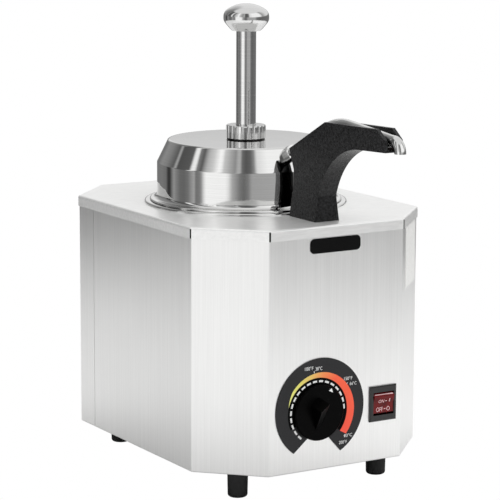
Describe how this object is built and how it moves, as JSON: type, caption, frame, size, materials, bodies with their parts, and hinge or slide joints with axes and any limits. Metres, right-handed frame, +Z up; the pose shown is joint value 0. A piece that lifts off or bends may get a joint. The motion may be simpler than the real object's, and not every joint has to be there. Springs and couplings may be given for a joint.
{
  "type": "topping warmer",
  "caption": "Countertop hot topping warmer: eight-sided steel housing, heated well, lift-out jar with a lid and hand pump, hooded spout arm, dial and rocker switch.",
  "frame": {"origin": "on the counter, under the middle of the whole object", "axes": "+X to the right seen from the front, +Y towards the back, +Z up"},
  "size_m": [0.23, 0.4054, 0.4098],
  "materials": {
    "brushed_panel": "vertical brushed grain, satin",
    "polished_steel": "spun and polished, near mirror",
    "galvanised": "plain zinc-coated sheet",
    "screw_steel": "turned steel",
    "heater_steel": "heat-dulled",
    "black_rubber": "moulded, matt",
    "glass_wool": "fibrous mat",
    "copper": "drawn copper",
    "terminal_brass": "turned brass",
    "black_phenolic": "moulded",
    "white_moulding": "acetal, satin",
    "heater_silicone": "silicone rubber mat",
    "shroud_black": "fine-textured black",
    "gloss_black": "polished black",
    "dial_print": "printed black, satin",
    "plate_black": "bare black enamel",
    "label_white": "bare white film",
    "knob_black": "moulded, satin",
    "rocker_red": "translucent red"
  },
  "bodies": {
    "housing": {"deck_panel": "brushed_panel", "front_wrap": "brushed_panel", "rear_cover": "brushed_panel", "base_pan": "galvanised", "foot_front_left": "black_rubber", "foot_front_right": "black_rubber", "foot_rear_left": "black_rubber", "foot_rear_right": "black_rubber", "foot_screws": "screw_steel", "foot_nuts": "screw_steel", "cover_screws": "screw_steel", "well_vessel": "polished_steel", "well_heater": "heater_steel", "heater_clamp_screw": "screw_steel", "insulation_jacket": "glass_wool", "sensing_bulb": "copper", "bulb_clip": "screw_steel", "capillary_tube": "copper", "thermal_cutout": "black_phenolic", "cutout_bracket": "screw_steel", "terminal_block": "white_moulding", "terminal_screws": "terminal_brass", "ground_stud": "terminal_brass", "cord_gland": "black_phenolic", "gland_nut": "black_phenolic", "spout_shroud": "shroud_black", "spout_trough": "polished_steel", "spout_heater": "heater_silicone", "shroud_screws": "screw_steel", "dial_plate": "dial_print", "thermostat_body": "black_phenolic", "thermostat_screws": "screw_steel", "switch_body": "gloss_black", "switch_terminals": "terminal_brass", "caution_plate": "plate_black", "rating_label": "label_white"},
    "jar": {"jar": "polished_steel"},
    "pump": {"lid": "polished_steel", "pump_cylinder": "polished_steel", "neck_washer": "screw_steel", "guide_sleeve": "white_moulding", "spring_seat": "white_moulding", "inlet_valve_seat": "polished_steel", "outlet_elbow": "polished_steel", "riser_tube": "polished_steel", "discharge_tube": "polished_steel", "outlet_collar": "polished_steel", "return_spring": "screw_steel"},
    "plunger": {"plunger_rod": "polished_steel", "plunger_knob": "polished_steel", "piston": "white_moulding", "piston_seal": "black_rubber", "piston_bolt": "screw_steel"},
    "lock_nut": {"lock_nut": "polished_steel"},
    "inlet_ball": {"inlet_ball": "screw_steel"},
    "outlet_ball": {"outlet_ball": "screw_steel"},
    "dial": {"control_knob": "knob_black", "thermostat_shaft": "terminal_brass"},
    "rocker": {"rocker": "rocker_red"}
  },
  "joints": [
    {"name": "jar_lift", "type": "slide", "parent": "housing", "child": "jar", "axis": [0, 0, 1], "range_m": [0, 0.16]},
    {"name": "pump_lift", "type": "slide", "parent": "jar", "child": "pump", "axis": [0, 0, 1], "range_m": [0, 0.16]},
    {"name": "plunger_press", "type": "slide", "parent": "pump", "child": "plunger", "axis": [0, 0, -1], "range_m": [0, 0.055], "stiffness_N_per_m": 1200, "springref_m": -0.013, "deforming": ["return_spring"]},
    {"name": "lock_nut_turn", "type": "hinge", "parent": "pump", "child": "lock_nut", "pos_m": [0, 0.03968, 0.298], "axis": [0, 0, 1], "range_deg": [0, 360]},
    {"name": "inlet_ball_lift", "type": "slide", "parent": "pump", "child": "inlet_ball", "axis": [0, 0, 1], "range_m": [0, 0.003]},
    {"name": "outlet_ball_lift", "type": "slide", "parent": "pump", "child": "outlet_ball", "axis": [0, 0, 1], "range_m": [0, 0.0025]},
    {"name": "dial_turn", "type": "hinge", "parent": "housing", "child": "dial", "pos_m": [-0.019, -0.11532, 0.0764], "axis": [0, 1, 0], "range_deg": [-170, 115]},
    {"name": "rocker_press", "type": "hinge", "parent": "housing", "child": "rocker", "pos_m": [0.0475, -0.10572, 0.076], "axis": [-1, 0, 0], "range_deg": [0, 18]}
  ]
}
